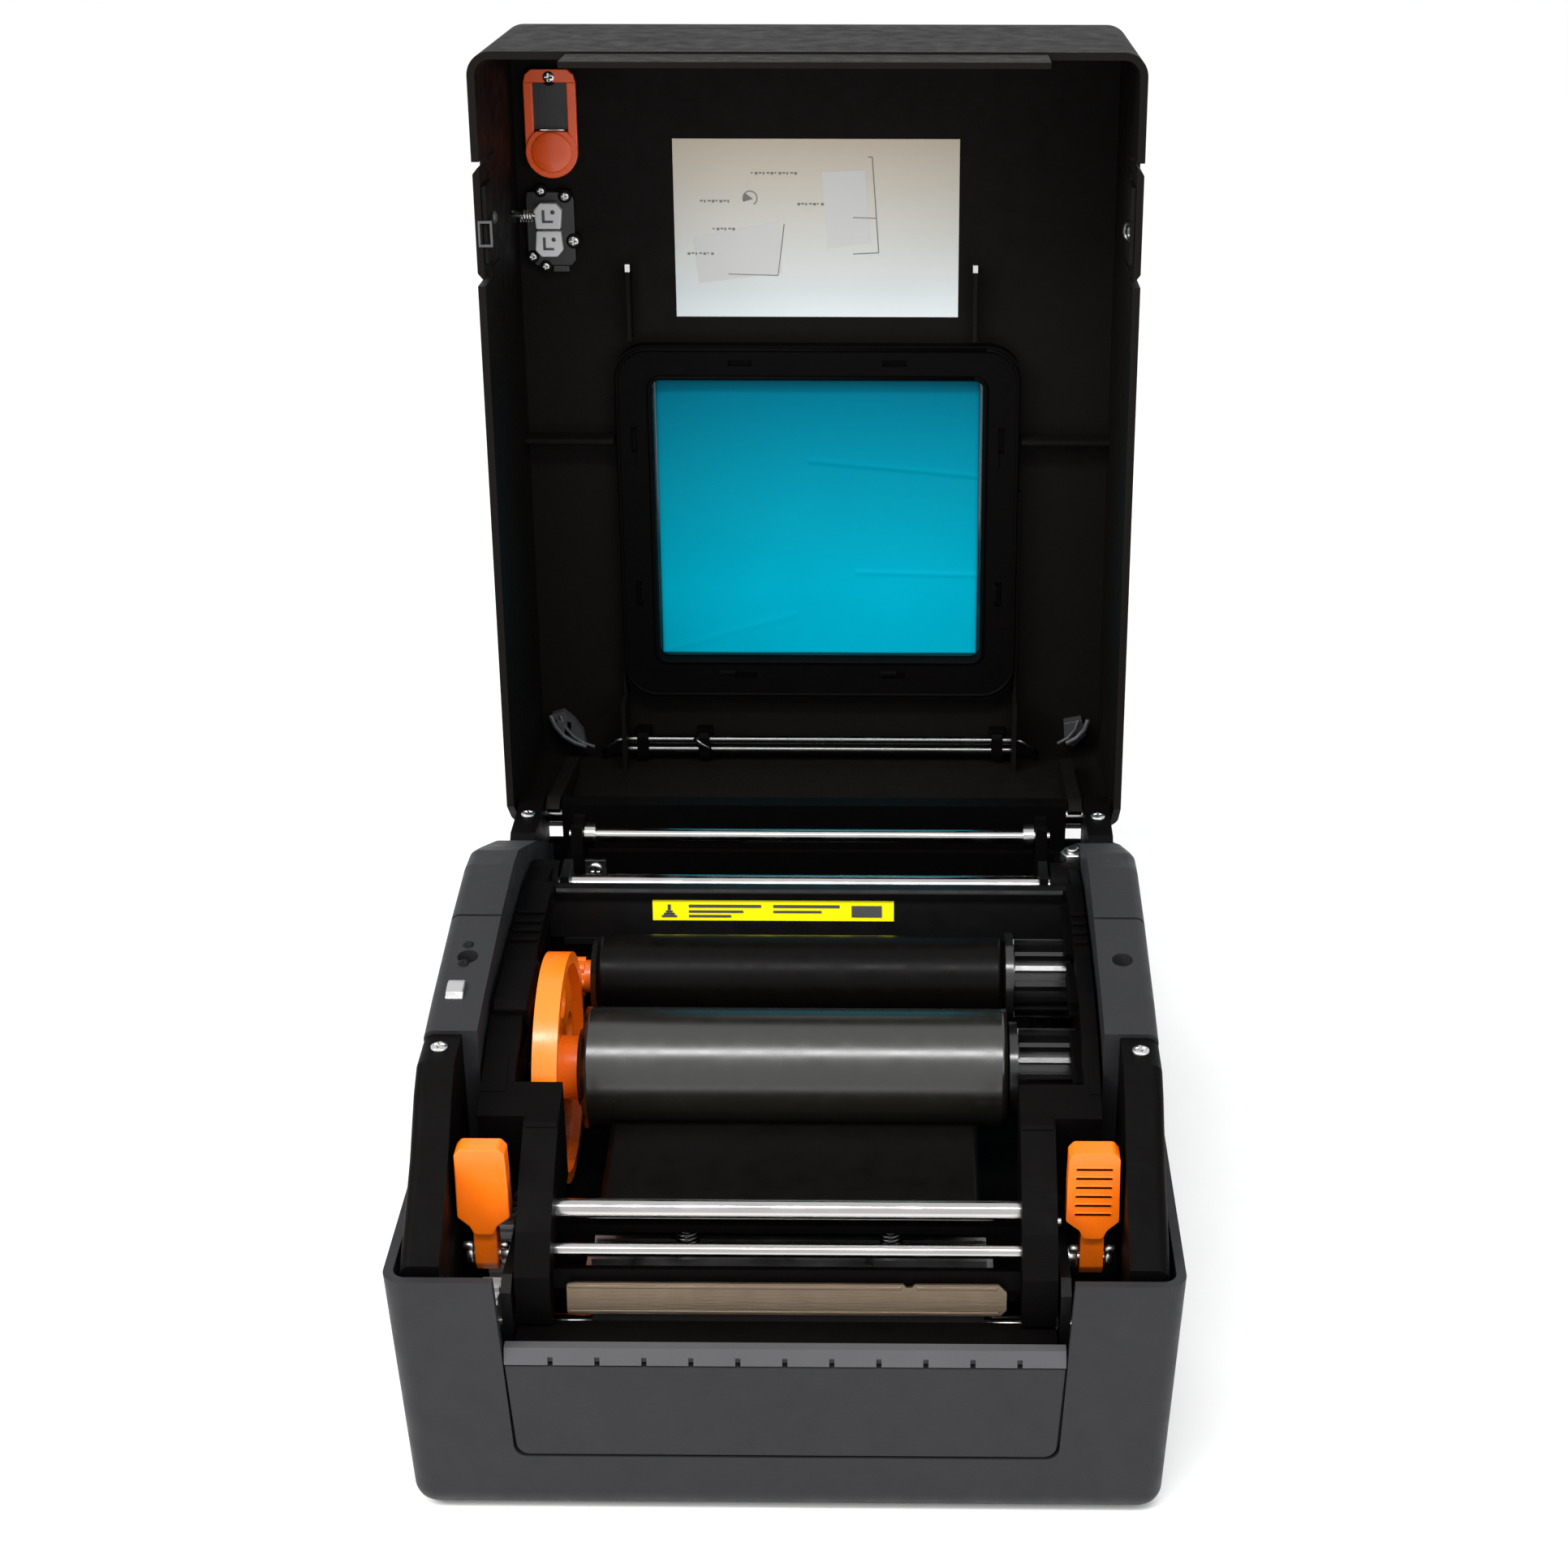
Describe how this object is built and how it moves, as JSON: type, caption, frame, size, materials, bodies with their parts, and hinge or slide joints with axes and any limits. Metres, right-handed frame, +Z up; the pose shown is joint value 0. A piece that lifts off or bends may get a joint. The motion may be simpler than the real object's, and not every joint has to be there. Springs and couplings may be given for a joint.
{
  "type": "desktop label printer",
  "caption": "Four-inch desktop thermal-transfer label maker with its lid open over the ribbon and print module.",
  "frame": {"origin": "on the table, under the middle of the lower casing", "axes": "+Z up, +Y towards the lid hinge and rear panel, +X to the right seen from the front"},
  "size_m": [0.226, 0.3753, 0.3674],
  "materials": {
    "casing_grey": "fine moulded grain",
    "black_plastic": "fine moulded grain",
    "dark_steel": "black passivated sheet",
    "polished_rod": "polished",
    "sheet_metal": "brushed along its length",
    "aluminium": "extruded",
    "screw_steel": "zinc plated",
    "orange_plastic": "smooth moulded",
    "red_plastic": "smooth moulded",
    "light_plastic": "smooth moulded",
    "platen_rubber": "ground rubber",
    "bush_plastic": "smooth moulded",
    "ribbon": "wound film",
    "white_label": "printed film",
    "yellow_label": "printed film",
    "clear_window": "clear moulded",
    "blue_film": "thin protective film",
    "port_plastic": "smooth moulded",
    "board_green": "solder mask",
    "ceramic": "glazed ceramic"
  },
  "bodies": {
    "base": {"lower_casing": "casing_grey", "rubber_feet": "platen_rubber", "front_cover": "casing_grey", "label_path": "black_plastic", "side_block_left": "black_plastic", "side_block_right": "black_plastic", "shoulder_cover_left": "casing_grey", "shoulder_cover_right": "casing_grey", "chassis_plate_left": "dark_steel", "chassis_plate_right": "dark_steel", "media_bay": "black_plastic", "hinge_bridge": "black_plastic", "data_ports": "port_plastic", "rear_panel": "black_plastic", "power_inlet": "port_plastic", "main_board": "board_green", "stepper_motor": "dark_steel", "label_sensor": "black_plastic", "platen_bushes": "bush_plastic", "steel_pins": "polished_rod", "casing_screws": "screw_steel"},
    "lid": {"lid_shell": "casing_grey", "window_frame": "black_plastic", "lid_window": "clear_window", "window_film": "blue_film", "guide_label": "white_label", "status_lights": "light_plastic", "lid_torsion_rods": "polished_rod", "lid_stay": "black_plastic", "lid_screws": "screw_steel"},
    "feed_button": {"feed_button": "red_plastic"},
    "latch_left": {"lid_latch_left": "casing_grey"},
    "latch_right": {"lid_latch_right": "casing_grey"},
    "print_module": {"module_frame_left": "black_plastic", "module_frame_right": "black_plastic", "cross_bar": "dark_steel", "caution_label": "yellow_label", "head_beams": "black_plastic", "tear_bar": "sheet_metal", "heat_sink": "aluminium", "print_head": "ceramic", "head_springs": "screw_steel", "ribbon_web": "ribbon", "module_rods": "polished_rod"},
    "takeup": {"takeup_ribbon_roll": "ribbon", "takeup_spindle": "bush_plastic", "ribbon_hand_wheel": "orange_plastic"},
    "supply": {"supply_ribbon_roll": "ribbon", "supply_spindle": "bush_plastic", "supply_knob": "orange_plastic"},
    "lever_left": {"release_lever_left": "orange_plastic"},
    "lever_right": {"release_lever_right": "orange_plastic"},
    "platen": {"platen_roller": "platen_rubber", "platen_shaft": "polished_rod", "platen_gear": "light_plastic"},
    "idler": {"idler_gear": "light_plastic"},
    "pinion": {"motor_pinion": "light_plastic"},
    "spindle": {"label_spindle": "polished_rod"},
    "rocker": {"power_rocker": "port_plastic"}
  },
  "joints": [
    {"name": "lid_hinge", "type": "hinge", "parent": "base", "child": "lid", "pos_m": [0, 0.1335, 0.0905], "axis": [1, 0, 0], "range_deg": [0, 94]},
    {"name": "module_hinge", "type": "hinge", "parent": "base", "child": "print_module", "pos_m": [0, 0.04, 0.1108], "axis": [1, 0, 0], "range_deg": [-60, 0]},
    {"name": "feed_button_press", "type": "hinge", "parent": "lid", "child": "feed_button", "pos_m": [-0.0965, 0.22545, 0.3432], "axis": [-1, 0, 0], "range_deg": [0, 3], "stiffness_Nm_per_rad": 3},
    {"name": "latch_left_press", "type": "slide", "parent": "lid", "child": "latch_left", "axis": [1, 0, 0], "range_m": [0, 0.002], "stiffness_N_per_m": 600},
    {"name": "latch_right_press", "type": "slide", "parent": "lid", "child": "latch_right", "axis": [-1, 0, 0], "range_m": [0, 0.002], "stiffness_N_per_m": 600},
    {"name": "takeup_spin", "type": "hinge", "parent": "print_module", "child": "takeup", "pos_m": [0, -0.042, 0.09], "axis": [1, 0, 0], "continuous": true},
    {"name": "supply_spin", "type": "hinge", "parent": "print_module", "child": "supply", "pos_m": [0, 0.0005, 0.098], "axis": [1, 0, 0], "continuous": true},
    {"name": "lever_left_pull", "type": "hinge", "parent": "base", "child": "lever_left", "pos_m": [-0.088, -0.107, 0.0665], "axis": [1, 0, 0], "range_deg": [0, 18], "stiffness_Nm_per_rad": 0.6},
    {"name": "lever_right_pull", "type": "hinge", "parent": "base", "child": "lever_right", "pos_m": [0.088, -0.107, 0.0665], "axis": [1, 0, 0], "range_deg": [0, 18], "stiffness_Nm_per_rad": 0.6},
    {"name": "platen_spin", "type": "hinge", "parent": "base", "child": "platen", "pos_m": [0, -0.115, 0.0475], "axis": [1, 0, 0], "continuous": true},
    {"name": "idler_spin", "type": "hinge", "parent": "base", "child": "idler", "pos_m": [0, -0.082, 0.0405], "axis": [1, 0, 0], "continuous": true},
    {"name": "pinion_spin", "type": "hinge", "parent": "base", "child": "pinion", "pos_m": [0, -0.047, 0.029], "axis": [1, 0, 0], "continuous": true},
    {"name": "spindle_spin", "type": "hinge", "parent": "base", "child": "spindle", "pos_m": [0, 0.085, 0.1065], "axis": [1, 0, 0], "continuous": true},
    {"name": "rocker_tilt", "type": "hinge", "parent": "base", "child": "rocker", "pos_m": [0.047, 0.1367, 0.0325], "axis": [1, 0, 0], "range_deg": [0, 14]}
  ],
  "couplings": [
    {"joint": "idler_spin", "follows": "platen_spin", "ratio": -0.61111},
    {"joint": "pinion_spin", "follows": "platen_spin", "ratio": 0.78571}
  ]
}
